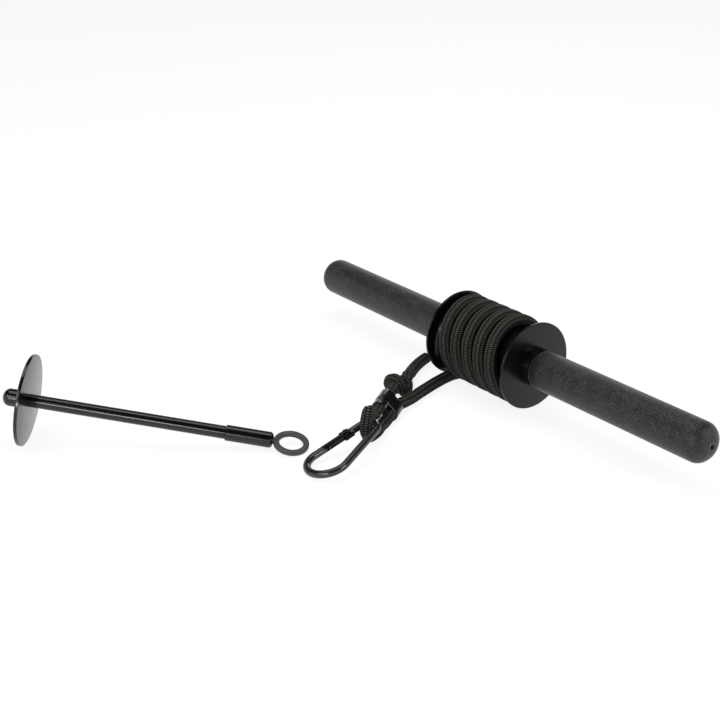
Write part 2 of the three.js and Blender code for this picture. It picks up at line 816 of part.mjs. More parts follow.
// The origin is under the middle of the bar and the pin together
const whole = new THREE.Box3().setFromObject(bar, true).union(new THREE.Box3().setFromObject(pin, true));
const middle = whole.getCenter(new THREE.Vector3());
model.position.set(-middle.x, -middle.y, 0);
console.log(`bar's axis at Y ${(-middle.y).toFixed(3)} mm and Z ${axisHeight.toFixed(3)} mm`);

export default model;
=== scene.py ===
# Wrist roller: foam bar with a spool of braided rope, a snap hook on the rope's eye, and a weight pin
import json
import math

import bmesh
import bpy
import numpy as np
from mathutils import Matrix, Vector


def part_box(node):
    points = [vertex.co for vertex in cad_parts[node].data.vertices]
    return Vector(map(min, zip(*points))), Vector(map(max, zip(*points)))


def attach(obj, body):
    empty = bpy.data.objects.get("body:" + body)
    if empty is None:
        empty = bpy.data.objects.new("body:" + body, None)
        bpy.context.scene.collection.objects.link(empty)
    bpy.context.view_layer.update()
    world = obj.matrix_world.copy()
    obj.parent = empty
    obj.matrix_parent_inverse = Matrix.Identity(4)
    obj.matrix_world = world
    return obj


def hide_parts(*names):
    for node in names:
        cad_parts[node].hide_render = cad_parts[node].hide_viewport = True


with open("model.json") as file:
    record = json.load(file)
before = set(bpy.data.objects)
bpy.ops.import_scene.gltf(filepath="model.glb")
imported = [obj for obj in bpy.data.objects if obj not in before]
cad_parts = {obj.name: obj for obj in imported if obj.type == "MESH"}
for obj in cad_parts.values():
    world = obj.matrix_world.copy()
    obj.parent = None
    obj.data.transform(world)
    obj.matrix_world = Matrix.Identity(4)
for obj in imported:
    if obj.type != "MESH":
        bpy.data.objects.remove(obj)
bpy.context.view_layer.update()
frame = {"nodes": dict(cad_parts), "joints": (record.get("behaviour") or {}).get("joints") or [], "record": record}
print("frame loaded:", len(frame["nodes"]), "nodes")

mm = 0.001
zAxis = Vector((0, 0, 1))
scene = bpy.context.scene


def middle(node):
    low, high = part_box(node)
    return (low + high) / 2


spoolMiddle = middle("left_spool_half")
barAxis = Vector((0, spoolMiddle.y, spoolMiddle.z))  # a point on the bar's axis, midway along it
joints = {joint["name"]: joint for joint in frame["joints"]}
seatMount = next(mount for mount in frame["record"]["mounts"] if mount["name"] == "plate_seat")


# Camera, fitted to the photograph's frame of 720 x 720
camera = {
    "place": (0.80237, -0.59166, 0.5105),
    "right": (0.61122, 0.79146, 0.0),
    "up": (-0.31802, 0.24560, 0.91572),
    "lens": 70.335,
    "sensor": 36,
}


def makeCamera():
    data = bpy.data.cameras.new("camera")
    data.lens = camera["lens"]
    data.sensor_width = camera["sensor"]
    right = Vector(camera["right"]).normalized()
    up = Vector(camera["up"]).normalized()
    turn = Matrix((right, up, right.cross(up))).transposed()
    holder = bpy.data.objects.new("camera", data)
    holder.matrix_world = Matrix.Translation(camera["place"]) @ turn.to_4x4()
    scene.collection.objects.link(holder)
    scene.camera = holder


makeCamera()


# Colours and nodes
def fromHex(text):
    shares = [int(text[i:i + 2], 16) / 255 for i in (1, 3, 5)]
    return [*(c / 12.92 if c <= 0.04045 else ((c + 0.055) / 1.055) ** 2.4 for c in shares), 1]


# An input takes a value, a socket of another node, or a node, which stands for its first output
def setInputs(tree, node, inputs):
    for name, value in inputs.items():
        if isinstance(value, bpy.types.Node):
            value = value.outputs[0]
        if isinstance(value, bpy.types.NodeSocket):
            tree.links.new(value, node.inputs[name])
        else:
            node.inputs[name].default_value = value


def addNode(tree, kind, inputs=None, stops=None, **settings):
    node = tree.nodes.new("ShaderNode" + kind)
    for name, value in settings.items():
        setattr(node, name, value)
    if stops:
        elements = node.color_ramp.elements
        while len(elements) < len(stops):
            elements.new(0.5)  # its place is set below
        for element, (place, colour) in zip(elements, stops.items()):
            element.position = place
            element.color = fromHex(colour)
    setInputs(tree, node, inputs or {})
    return node


def newMaterial(name):
    material = bpy.data.materials.new(name)
    material.use_nodes = True
    tree = material.node_tree
    tree.nodes.clear()
    surface = addNode(tree, "BsdfPrincipled")
    addNode(tree, "OutputMaterial", {"Surface": surface})
    return material, tree, surface


# Nitrile foam, moulded: matt charcoal, mottled by its pores, paler at a glancing angle; with painted shade, black
# beside the spool and in the vents
foam = {
    "pore": 1.25 * mm,  # drawn coarser than the real pores, so that they show
    "poreDetail": 3.0,
    "poreShare": 0.8,
    "patch": 7 * mm,
    "patchDetail": 2.0,
    "patchShare": 0.2,
    "colours": {0.41: "#030303", 0.5: "#10100f", 0.58: "#302f2e"},
    "depth": 0.3 * mm,
    "relief": 0.8,
    "spoolShade": 0.25,  # painted shade: black beside the spool, by the distance from the bar's middle
    "spoolFrom": 62 * mm,
    "spoolTo": 66 * mm,
    "ventShade": 0.4,  # painted shade: black in the vents, by the distance from the bar's axis
    "ventFrom": 1.9 * mm,
    "ventTo": 2.4 * mm,
    "roughness": 0.52,
    "specular": 0.45,
    "sheen": 0.22,
    "sheenRoughness": 0.35,
}


def makeFoam():
    material, tree, surface = newMaterial("nitrile foam")
    place = addNode(tree, "TexCoord").outputs["Object"]
    pores = addNode(tree, "TexNoise", {
        "Vector": place, "Scale": 1 / foam["pore"], "Detail": foam["poreDetail"]})
    patches = addNode(tree, "TexNoise", {
        "Vector": place, "Scale": 1 / foam["patch"], "Detail": foam["patchDetail"]})
    poresPart = addNode(tree, "Math", {0: pores, 1: foam["poreShare"]}, operation="MULTIPLY")
    patchesPart = addNode(tree, "Math", {0: patches, 1: foam["patchShare"]}, operation="MULTIPLY")
    mottleAndPaintedShade = addNode(tree, "Math", {0: poresPart, 1: patchesPart}, operation="ADD")
    along = addNode(tree, "SeparateXYZ", {"Vector": place})
    fromMiddle = addNode(tree, "Math", {0: along}, operation="ABSOLUTE")
    toAxis = addNode(tree, "VectorMath", {0: place, 1: (0, barAxis.y, barAxis.z)}, operation="SUBTRACT")
    across = addNode(tree, "VectorMath", {0: toAxis, 1: (0, 1, 1)}, operation="MULTIPLY")
    fromAxis = addNode(tree, "VectorMath", {0: across}, operation="LENGTH").outputs["Value"]
    # painted shade beside the spool and in the vents, taken off the mottle
    for part, distance in (("spool", fromMiddle), ("vent", fromAxis)):
        shade = addNode(tree, "MapRange", {
            "Value": distance, "From Min": foam[part + "From"], "From Max": foam[part + "To"],
            "To Min": foam[part + "Shade"], "To Max": 0.0})
        mottleAndPaintedShade = addNode(tree, "Math", {0: mottleAndPaintedShade, 1: shade}, operation="SUBTRACT")
    setInputs(tree, surface, {
        "Base Color": addNode(tree, "ValToRGB", {"Fac": mottleAndPaintedShade}, foam["colours"]),
        "Roughness": foam["roughness"],
        "Specular IOR Level": foam["specular"],
        "Sheen Weight": foam["sheen"],
        "Sheen Roughness": foam["sheenRoughness"],
        "Normal": addNode(tree, "Bump", {
            "Height": pores, "Distance": foam["depth"], "Strength": foam["relief"]}),
    })
    return material


# Polyester yarn in a solid braid: columns of stitches along the rope, brownish black and dull; painted shade
# darkens the gaps between stitches and the sides of the wound turns
braid = {
    "columns": 8,
    "wound": 1.7 * mm,  # a stitch's length on the spool, drawn longer than the real one, so that it shows
    "free": 1.4 * mm,  # and off it
    "offset": 0.5,
    "slant": 0.8,
    "ridge": 0.3 * mm,
    "ridgePower": 3.0,
    "ridgeFloor": 0.4,
    "stitchPower": 2.0,
    "stitchFloor": 0.08,
    "yarns": 5,
    "yarnHeight": 0.05,
    "bulge": 0.16 * mm,
    "slack": 0.14 * mm,
    "crease": 0.5 * mm,
    "creaseWidth": 0.03,
    # painted shade: the darkest colours fall down in the gaps between stitches and columns
    "colours": {0.12: "#010101", 0.36: "#080807", 0.7: "#242321", 1.0: "#605d57"},
    "depth": 0.45 * mm,
    "relief": 0.8,
    "valley": 0.1,  # painted shade: the share of colour left on the sides of a wound turn, and where on the turn the shade ends
    "valleyShadeEnd": 0.6,
    "roughness": 0.72,
    "specular": 0.15,
}


def makeRopeYarn():
    material, tree, surface = newMaterial("braided polyester")
    lay = addNode(tree, "SeparateXYZ", {"Vector": addNode(tree, "UVMap", uv_map="lay")})
    around, along = lay.outputs["X"], lay.outputs["Y"]
    column = addNode(tree, "Math", {0: around, 1: braid["columns"]}, operation="MULTIPLY")
    inColumn = addNode(tree, "Math", {0: column}, operation="FRACT")
    fromCentre = addNode(tree, "Math", {0: inColumn, 1: 0.5}, operation="SUBTRACT")
    aside = addNode(tree, "Math", {0: fromCentre}, operation="ABSOLUTE")
    toEdge = addNode(tree, "Math", {0: aside, 1: 2.0}, operation="MULTIPLY")
    edgeDrop = addNode(tree, "Math", {0: toEdge, 1: braid["ridgePower"]}, operation="POWER")
    ridge = addNode(tree, "Math", {0: 1.0, 1: edgeDrop}, operation="SUBTRACT")
    number = addNode(tree, "Math", {0: column}, operation="FLOOR")
    offset = addNode(tree, "Math", {0: number, 1: braid["offset"]}, operation="MULTIPLY")
    slanted = addNode(tree, "Math", {0: toEdge, 1: braid["slant"] / 2}, operation="MULTIPLY")
    shifted = addNode(tree, "Math", {0: along, 1: offset}, operation="ADD")
    phase = addNode(tree, "Math", {0: shifted, 1: slanted}, operation="ADD")
    angle = addNode(tree, "Math", {0: phase, 1: math.pi}, operation="MULTIPLY")
    swing = addNode(tree, "Math", {0: angle}, operation="SINE")
    wave = addNode(tree, "Math", {0: swing}, operation="ABSOLUTE")
    stitch = addNode(tree, "Math", {0: wave, 1: braid["stitchPower"]}, operation="POWER")
    parts = []
    for shape, floor in ((ridge, braid["ridgeFloor"]), (stitch, braid["stitchFloor"])):
        above = addNode(tree, "Math", {0: shape, 1: 1 - floor}, operation="MULTIPLY")
        parts.append(addNode(tree, "Math", {0: floor, 1: above}, operation="ADD"))
    stitches = addNode(tree, "Math", {0: parts[0], 1: parts[1]}, operation="MULTIPLY")
    yarnTurn = addNode(tree, "Math", {0: inColumn, 1: braid["yarns"] * 2 * math.pi}, operation="MULTIPLY")
    yarns = addNode(tree, "Math", {0: yarnTurn}, operation="SINE")
    fine = addNode(tree, "Math", {0: yarns, 1: braid["yarnHeight"]}, operation="MULTIPLY")
    height = addNode(tree, "Math", {0: stitches, 1: fine}, operation="ADD")
    # colour by the braid's height: painted shade, near black down in the gaps between stitches
    colour = addNode(tree, "ValToRGB", {"Fac": height}, braid["colours"])
    # painted shade: the sides of the wound turns are drawn darker; off the spool the colour is left as it is
    turn = addNode(tree, "Math", {0: around, 1: 2 * math.pi}, operation="MULTIPLY")
    upward = addNode(tree, "Math", {0: turn}, operation="SINE")
    paintedSideShade = addNode(tree, "MapRange", {
        "Value": upward, "From Min": 0.0, "From Max": braid["valleyShadeEnd"],
        "To Min": braid["valley"], "To Max": 1.0})
    wound = addNode(tree, "Attribute", attribute_name="wound").outputs["Fac"]
    shade = addNode(tree, "Mix", {0: wound, 2: 1.0, 3: paintedSideShade}, data_type="FLOAT")
    setInputs(tree, surface, {
        "Base Color": addNode(tree, "VectorMath", {0: colour, "Scale": shade}, operation="SCALE"),
        "Roughness": braid["roughness"],
        "Specular IOR Level": braid["specular"],
        "Normal": addNode(tree, "Bump", {
            "Height": height, "Distance": braid["depth"], "Strength": braid["relief"]}),
    })
    return material


# ABS, injection moulded in a polished tool: deep black with a clear reflection
polishedAbs = {
    "colours": {0.3: "#040405", 0.7: "#080809"},
    "cloud": (9 * mm, 4.0),
    "relief": (14 * mm, 1.0),
    "depth": 0.02 * mm,
    "strength": 0.5,
    "shader": {"Roughness": 0.24, "Specular IOR Level": 0.3},
}
# Polyolefin tube, heat shrunk: satin black, faintly purple, smooth over the rope
shrinkTube = {
    "colours": {0.3: "#0c090d", 0.7: "#151118"},
    "cloud": (5 * mm, 2.0),
    "relief": (4 * mm, 2.0),
    "depth": 0.12 * mm,
    "strength": 0.4,
    "shader": {"Roughness": 0.2},
}
# Steel wire, bent and coated black: soft highlights, a little orange peel
wireCoat = {
    "colours": {0.3: "#131314", 0.7: "#1d1d1e"},
    "cloud": (5 * mm, 3.0),
    "gloss": (2 * mm, 3.0),
    "roughness": (0.16, 0.25),
    "relief": (1.8 * mm, 2.0),
    "depth": 0.012 * mm,
    "strength": 0.4,
    "shader": {"IOR": 1.6},
}
# The gate's coat looks deeper black; its index is below a real coat's, to match that
gateCoat = {**wireCoat, "colours": {0.3: "#030304", 0.7: "#070708"}, "shader": {"IOR": 1.22}}
# Steel, painted black: deep black with a clear reflection
glossPaint = {
    "colours": {0.3: "#060607", 0.7: "#0b0b0c"},
    "cloud": (8 * mm, 3.0),
    "gloss": (6 * mm, 3.0),
    "roughness": (0.12, 0.22),
    "relief": (2.5 * mm, 2.0),
    "depth": 0.012 * mm,
    "strength": 0.4,
    "shader": {},
}
# The same paint on the ring, worn to a grey satin
wornPaint = {**glossPaint, "colours": {0.3: "#2d2d2e", 0.7: "#3a3a3b"}, "roughness": (0.36, 0.5)}
# Zinc plate on the washer: pale, a little cloudy
brightZinc = {
    "colours": {0.3: "#b4b6b8", 0.7: "#cfd1d2"},
    "cloud": (2 * mm, 3.0),
    "gloss": (1.5 * mm, 3.0),
    "roughness": (0.3, 0.45),
    "shader": {"Metallic": 1.0},
}
# Drawn steel, bright: the tube, its pins and the gate's inner parts, faintly streaked along X
drawnSteel = {
    "colours": {0.3: "#8a8c8f", 0.7: "#a5a7aa"},
    "stretch": (0.08, 1.0, 1.0),
    "cloud": (0.6 * mm, 2.0),
    "shader": {"Metallic": 1.0, "Roughness": 0.32},
}
# Polyamide, moulded with a fine texture: the tube's plugs
plugPlastic = {
    "colours": {0.3: "#161617", 0.7: "#1f1f20"},
    "cloud": (2 * mm, 2.0),
    "relief": (0.8 * mm, 2.0),
    "depth": 0.05 * mm,
    "strength": 0.5,
    "shader": {"Roughness": 0.6},
}


# Two close colours clouded into each other, an even or uneven gloss, and a relief.
# The cloud, the gloss and the relief are each a pattern's size and its detail
def makeFinish(name, look):
    material, tree, surface = newMaterial(name)
    setInputs(tree, surface, look["shader"])
    place = addNode(tree, "TexCoord").outputs["Object"]
    if "stretch" in look:
        place = addNode(tree, "Mapping", {"Vector": place, "Scale": look["stretch"]})
    patterns = {}
    for use in ("cloud", "gloss", "relief"):
        if use in look:
            size, detail = look[use]
            patterns[use] = addNode(tree, "TexNoise", {"Vector": place, "Scale": 1 / size, "Detail": detail})
    colour = addNode(tree, "ValToRGB", {"Fac": patterns["cloud"]}, look["colours"])
    setInputs(tree, surface, {"Base Color": colour})
    if "gloss" in look:
        smooth, dull = look["roughness"]
        roughness = addNode(tree, "MapRange", {"Value": patterns["gloss"], "To Min": smooth, "To Max": dull})
        setInputs(tree, surface, {"Roughness": roughness})
    if "relief" in look:
        normal = addNode(tree, "Bump", {
            "Height": patterns["relief"], "Distance": look["depth"], "Strength": look["strength"]})
        setInputs(tree, surface, {"Normal": normal})
    return material


foamFinish = makeFoam()
ropeFinish = makeRopeYarn()
plasticFinish = makeFinish("polished ABS", polishedAbs)
shrinkFinish = makeFinish("heat-shrunk polyolefin", shrinkTube)
wireFinish = makeFinish("black coat on wire", wireCoat)
gateFinish = makeFinish("black coat on gate", gateCoat)
paintFinish = makeFinish("gloss black paint", glossPaint)
wornFinish = makeFinish("worn black paint", wornPaint)
zincFinish = makeFinish("bright zinc", brightZinc)
steelFinish = makeFinish("drawn steel", drawnSteel)
plugFinish = makeFinish("textured polyamide", plugPlastic)
print("finishes made")


# Pieces
mergeDistance = 0.0001 * mm


def finishPiece(name, mesh, body, finish, nodes, sharp=32):
    mesh.materials.clear()
    mesh.materials.append(finish)
    mesh.shade_smooth()
    mesh.set_sharp_from_angle(angle=math.radians(sharp))
    piece = bpy.data.objects.new(name, mesh)
    scene.collection.objects.link(piece)
    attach(piece, body)
    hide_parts(*nodes)
    return piece


def meshOf(bm, name, place=None):
    bmesh.ops.remove_doubles(bm, verts=bm.verts, dist=mergeDistance)
    bmesh.ops.recalc_face_normals(bm, faces=bm.faces)
    if place is not None:
        bm.transform(place)
    mesh = bpy.data.meshes.new(name)
    bm.to_mesh(mesh)
    bm.free()
    return mesh


# A profile of (X, radius) in metres, spun about X
def spun(profile, steps, closedProfile=False):
    bm = bmesh.new()
    verts = [bm.verts.new((x, 0, radius)) for x, radius in profile]
    edges = [bm.edges.new(pair) for pair in zip(verts, verts[1:])]
    if closedProfile:
        edges.append(bm.edges.new((verts[-1], verts[0])))
    bmesh.ops.spin(bm, geom=verts + edges, cent=(0, 0, 0), axis=(1, 0, 0), angle=2 * math.pi, steps=steps,
                   use_merge=True)
    return bm


def arc(centreX, centreR, radiusX, radiusR, start, end, steps=4):
    turns = [math.radians(start + (end - start) * i / steps) for i in range(steps + 1)]
    return [(centreX + radiusX * math.sin(turn), centreR + radiusR * math.cos(turn)) for turn in turns]


# Solids cut from, or joined to, a mesh
def combine(mesh, tools, operation):
    body = bpy.data.objects.new("combined", mesh)
    scene.collection.objects.link(body)
    helpers = []
    for toolMesh in tools:
        tool = bpy.data.objects.new("tool", toolMesh)
        scene.collection.objects.link(tool)
        modifier = body.modifiers.new("combine", "BOOLEAN")
        modifier.operation = operation
        modifier.solver = "EXACT"
        modifier.object = tool
        helpers.append(tool)
    made = bpy.data.meshes.new_from_object(body.evaluated_get(bpy.context.evaluated_depsgraph_get()))
    for thing in [body, *helpers]:
        bpy.data.objects.remove(thing)
    return made


# A round bar between two points
def roundBar(start, end, radius, sides):
    bm = bmesh.new()
    length = (end - start).length
    turn = (end - start).to_track_quat("Z", "Y").to_matrix().to_4x4()
    bmesh.ops.create_cone(bm, cap_ends=True, segments=sides, radius1=radius, radius2=radius, depth=length,
                          matrix=Matrix.Translation((start + end) / 2) @ turn)
    return meshOf(bm, "bar")


# Rope: the route is one line, from the hole in the hub to the cut end
rope = {
    "diameter": 10.4 * mm,
    "turnWidth": 12.1 * mm,
    "pitch": 14.1 * mm,
    "lean": 4.8 * mm,
    "turns": 5.25,
    "firstPlace": -38.4 * mm,
    "endBend": 6 * mm,
    "endLift": 0.4 * mm,
    "hub": 26.4 * mm,
    "bore": 12.8 * mm,
    "solidSteps": 24,  # stretches to a turn, and sides, of the solid that the winding follows
    "solidSides": 6,
    "step": 0.68 * mm,
    "sides": 40,
    "straight": 0.001 * mm,
    "turnSteps": 60,
    "bendSteps": 12,
    "leaveShares": (0.5, 1),  # straight off the spool, in rope diameters
    "blendRings": 25,  # from the flattened turns to the round rope
    "woundReach": 1.02,
    "cutShares": (0.98, 0.93, 0.82),  # the last rings, drawn in by the melted cut
}
leadRoute = [
    (-34.3, -18, 5.5),
    (-33.4, -27, 5.4),
    (-31.6, -35.5, 5.3),
    (-29.4, -44, 5.3),
    (-26.4, -53.9, 5.3),
    (-23.1, -64.5, 5.3),
    (-19.2, -75.8, 5.4),
    (-15.9, -87, 6.1),
]
eyeRoute = [
    (3.4, -133.7, 16.1),
    (6.9, -139.3, 19),
    (11.9, -145.1, 24),
    (16.2, -149.5, 28),
    (20, -153.3, 29.1),
    (22.7, -156.9, 24.6),
    (23.2, -158, 17.5),
    (21.4, -154.7, 10.6),
    (18.8, -149.2, 7.7),
    (16.3, -143.1, 7.5),
    (12.2, -136.8, 7.1),
    (8, -131.8, 6.1),
    (4.3, -125.3, 5.5),
]
strandRoute = [
    (-24.2, -95, 14.8),
]
# Overhand knot, from its middle: along it to the tail, to its right and up
knot = {
    "entry": (-31.4, -86.6, 13.2),
    "exit": (-42.3, -64.4, 12),
    "squeeze": 0.9,
    "reach": 13 * mm,
    "blendRings": 9,
}
knotRoute = [
    (-12.4, 0, 0),
    (-5, -1.4, -2),
    (1, -2, -2.4),
    (5, 0, 0.6),
    (5.5, 4.6, 0),
    (3, 6.4, -4.4),
    (-1.5, 5, -6),
    (-3.8, 4.4, -2),
    (-4, 2.2, 2),
    (-3.4, -2, 4.4),
    (-2.4, -7, 3),
    (-1, -9.2, -0.8),
    (1, -8.2, -5.4),
    (4, -4, -7.4),
    (9, 0, -5.8),
    (14, 0.4, -2.2),
]
tailRoute = [
    (-47.3, -57.8, 10.6),
    (-52.4, -51.6, 8.6),
    (-57.2, -46, 6.9),
    (-61.9, -40.6, 5.7),
    (-65.8, -34.8, 5.3),
    (-69.2, -28.8, 5.3),
    (-72.4, -22.4, 5.3),
    (-75, -16, 5.3),
    (-76.7, -10.8, 5.3),
]
sleeve = {
    "direction": (-0.57, 0.82, 0),
    "tilt": 50,
    "length": 18 * mm,
    "wall": 0.8 * mm,
    "spacing": 11.5 * mm,
    "gap": 0.3 * mm,
    "innerShare": 0.5,  # of the gap
    "lip": 0.5 * mm,
    "sag": 0.1 * mm,
    "shoulder": 1.6 * mm,
    "flatShare": 1.6,  # how soon the flats between the strands give way to the rounds
    "waistShare": 0.1,
    "waistWidth": 3.2 * mm,
    "sides": 64,
}
wrap = {
    "length": 9 * mm,
    "wall": 0.5 * mm,
    "innerShare": 0.3,  # of the sleeve's gap
    "edge": 0.3 * mm,
    "sag": 0.1 * mm,
    "sides": 48,
}


def onFloor(point):
    return Vector((point[0] * mm, point[1] * mm + barAxis.y, point[2] * mm))


strandsUp = Vector(sleeve["direction"]).normalized()
sleeveAcross = Matrix.Rotation(math.radians(sleeve["tilt"]), 3, strandsUp) @ strandsUp.cross(zAxis)
sleeveMiddle = middle("binding_sleeve")
sleeveTurn = Matrix((sleeveAcross, strandsUp.cross(sleeveAcross), strandsUp)).transposed().to_4x4()
sleeveFrame = Matrix.Translation(sleeveMiddle - strandsUp * sleeve["length"] / 2) @ sleeveTurn


def inSleeve(side, along):
    return sleeveFrame @ Vector((side * sleeve["spacing"] / 2, 0, along))


def inKnot(point):
    start, end = onFloor(knot["entry"]), onFloor(knot["exit"])
    along = (end - start).normalized()
    side = along.cross(zAxis).normalized()
    turn = Matrix((along, side, side.cross(along))).transposed()
    return (start + end) / 2 + turn @ Vector([number * mm for number in point])


radius = rope["diameter"] / 2
turnHeight = rope["turnWidth"] / 2 * math.cos(math.pi / rope["solidSides"])
windRadius = rope["hub"] / math.cos(math.pi / rope["solidSteps"]) + turnHeight
windEnd = rope["turns"] * 2 * math.pi
liftTop = windRadius + rope["endLift"]
bendHeight = math.sqrt(liftTop ** 2 - rope["endBend"] ** 2)
liftEnd = windEnd - math.asin(rope["endBend"] / liftTop)
liftArc = 2 * rope["endLift"] * bendHeight / (liftTop * rope["endBend"])


def windingPoint(angle):
    lift = max(0, 1 - (liftEnd - angle) / liftArc)
    reach = windRadius + rope["endLift"] * lift ** 2
    place = rope["firstPlace"] + rope["pitch"] * angle / (2 * math.pi) + rope["lean"] * math.cos(angle)
    return barAxis + Vector((place, reach * math.sin(angle), -reach * math.cos(angle)))


# From the radial hole out to the last turn
def endBend():
    outward = Vector((0, math.sin(windEnd), -math.cos(windEnd)))
    onward = Vector((0, math.cos(windEnd), math.sin(windEnd)))
    place = barAxis + Vector((windingPoint(liftEnd).x, 0, 0))
    points = [place + outward * rope["bore"]]
    for i in range(rope["bendSteps"]):
        turn = math.pi / 2 * (1 - i / rope["bendSteps"])
        reach = bendHeight - rope["endBend"] * (1 - math.cos(turn))
        points.append(place + outward * reach - onward * rope["endBend"] * (1 - math.sin(turn)))
    return points


# A smooth line through points, after Catmull and Rom, with centripetal spacing
def smoothLine(points, step):
    points = [np.array(point) for point in points]
    points = [2 * points[0] - points[1], *points, 2 * points[-1] - points[-2]]
    line = []
    for p0, p1, p2, p3 in zip(points, points[1:], points[2:], points[3:]):
        t1 = np.linalg.norm(p1 - p0) ** 0.5
        t2 = t1 + np.linalg.norm(p2 - p1) ** 0.5
        t3 = t2 + np.linalg.norm(p3 - p2) ** 0.5
        count = max(1, round(np.linalg.norm(p2 - p1) / step))
        for t in np.linspace(t1, t2, count, endpoint=False):
            a1 = (t1 - t) / t1 * p0 + t / t1 * p1
            a2 = (t2 - t) / (t2 - t1) * p1 + (t - t1) / (t2 - t1) * p2
            a3 = (t3 - t) / (t3 - t2) * p2 + (t - t2) / (t3 - t2) * p3
            b1 = (t2 - t) / t2 * a1 + t / t2 * a2
            b2 = (t3 - t) / (t3 - t1) * a2 + (t - t1) / (t3 - t1) * a3
            line.append((t2 - t) / (t2 - t1) * b1 + (t - t1) / (t2 - t1) * b2)
    return [*line, points[-2]]


def evenly(line, step):
    line = np.array(line)
    along = np.concatenate([[0], np.cumsum(np.linalg.norm(np.diff(line, axis=0), axis=1))])
    places = np.linspace(0, along[-1], round(along[-1] / step) + 1)
    return np.stack([np.interp(places, along, line[:, k]) for k in range(3)], axis=1), places


def ropeLine():
    count = round(liftEnd / (2 * math.pi) * rope["turnSteps"])
    winding = [windingPoint(liftEnd * (1 - i / count)) for i in range(count + 1)]
    start = winding[-1]
    leaving = (winding[-1] - winding[-2]).normalized()
    free = [
        *[start + leaving * rope["diameter"] * share for share in rope["leaveShares"]],
        *[onFloor(point) for point in leadRoute],
        inSleeve(1, sleeve["length"]),
        inSleeve(1, sleeve["length"] / 2),
        inSleeve(1, 0),
        *[onFloor(point) for point in reversed(eyeRoute)],
        inSleeve(-1, -wrap["length"] - radius / 2),
        inSleeve(-1, -wrap["length"] / 2),
        inSleeve(-1, 0),
        inSleeve(-1, sleeve["length"] / 2),
        inSleeve(-1, sleeve["length"]),
        *[onFloor(point) for point in strandRoute],
        *[inKnot(point) for point in knotRoute],
        *[onFloor(point) for point in tailRoute],
    ]
    return evenly(smoothLine([*endBend(), *winding, *free], rope["step"] / 2), rope["step"])


# Directions across the rope: away from the axle on the spool, then carried along
def ropeAcross(line):
    forward = np.gradient(line, axis=0)
    forward /= np.linalg.norm(forward, axis=1)[:, None]
    onSpool = int(np.argmin(np.linalg.norm(line - np.array(windingPoint(0)), axis=1)))
    outward = np.zeros_like(line)
    for i in range(len(line)):
        if i <= onSpool:
            guess = line[i] - np.array([line[i][0], barAxis.y, barAxis.z])
        else:
            guess = outward[i - 1]
        guess = guess - forward[i] * (guess @ forward[i])
        size = np.linalg.norm(guess)
        if size < rope["straight"]:  # in the hole the rope runs straight away from the axle
            guess, size = np.array([1.0, 0, 0]), 1
        outward[i] = guess / size
    return forward, outward


def blended(flags, rings):
    return np.convolve(flags.astype(float), np.ones(rings) / rings, mode="same")


def makeRope():
    line, places = ropeLine()
    forward, outward = ropeAcross(line)
    sides = rope["sides"]
    turn = np.arange(sides) / sides * 2 * math.pi
    fromAxis = np.linalg.norm(line[:, 1:] - np.array([barAxis.y, barAxis.z]), axis=1)
    onHub = (fromAxis < windRadius * rope["woundReach"]) & (places < windRadius * 2 * math.pi * rope["turns"])
    wound = blended(onHub, rope["blendRings"])
    fromKnot = np.linalg.norm(line - np.array(inKnot((0, 0, 0))), axis=1)
    knotted = blended(fromKnot < knot["reach"], knot["blendRings"])
    squeeze = 1 - (1 - knot["squeeze"]) * knotted
    squeeze[-len(rope["cutShares"]):] = rope["cutShares"]
    halfWide = ((radius + (rope["turnWidth"] / 2 - radius) * wound) * squeeze)[:, None]
    halfHigh = (radius * squeeze)[:, None]
    side = np.cross(forward, outward)
    stitches = np.cumsum(np.gradient(places) / (braid["free"] + (braid["wound"] - braid["free"]) * wound))
    column = turn / (2 * math.pi) * braid["columns"]
    toEdge = np.abs(column % 1 - 0.5) * 2
    crease = np.exp(-((np.abs(np.sin(turn)) - 1) / braid["creaseWidth"]) ** 2) * braid["crease"]
    stitch = stitches[:, None] + braid["offset"] * np.floor(column)[None, :]
    bulge = braid["bulge"] * np.abs(np.sin(math.pi * stitch)) * (1 - toEdge[None, :]) * (1 - wound[:, None])
    drop = (crease + braid["ridge"] * toEdge ** 2)[None, :] - bulge + braid["slack"]
    across = (halfWide - drop) * np.cos(turn)[None, :]
    rise = (halfHigh - drop) * np.sin(turn)[None, :]
    points = line[:, None, :] + side[:, None, :] * across[:, :, None] + outward[:, None, :] * rise[:, :, None]
    rows = len(line)
    lowest = float(points[:, :, 2].min())
    print("rope length", round(places[-1], 4), "rings", rows, "lowest", round(lowest, 5))
    row, col = np.meshgrid(np.arange(rows - 1), np.arange(sides), indexing="ij")
    nextCol = (col + 1) % sides
    quads = np.stack([row * sides + col, (row + 1) * sides + col, (row + 1) * sides + nextCol,
                      row * sides + nextCol], axis=-1).reshape(-1, 4)
    mesh = bpy.data.meshes.new("rope")
    caps = [list(range(sides)), [(rows - 1) * sides + i for i in range(sides)][::-1]]
    mesh.from_pydata(points.reshape(-1, 3).tolist(), [], quads.tolist() + caps)
    lay = mesh.uv_layers.new(name="lay")
    share = np.stack([col, col, col + 1, col + 1], axis=-1) / sides
    far = np.stack([stitches[row], stitches[row + 1], stitches[row + 1], stitches[row]], axis=-1)
    uv = np.zeros((len(mesh.loops), 2))
    uv[:share.size, 0] = share.reshape(-1)
    uv[:share.size, 1] = far.reshape(-1)
    lay.data.foreach_set("uv", uv.reshape(-1))
    mesh.attributes.new("wound", "FLOAT", "POINT").data.foreach_set("value", np.repeat(wound, sides))
    mesh.update()
    nodes = ["rope_winding", "rope_lead", "rope_eye", "rope_strand", "rope_tail", "stopper_knot"]
    piece = finishPiece("rope", mesh, "roller", ropeFinish, nodes, sharp=80)
    return piece, line, places[-1]


ropePiece, ropePath, ropeLength = makeRope()


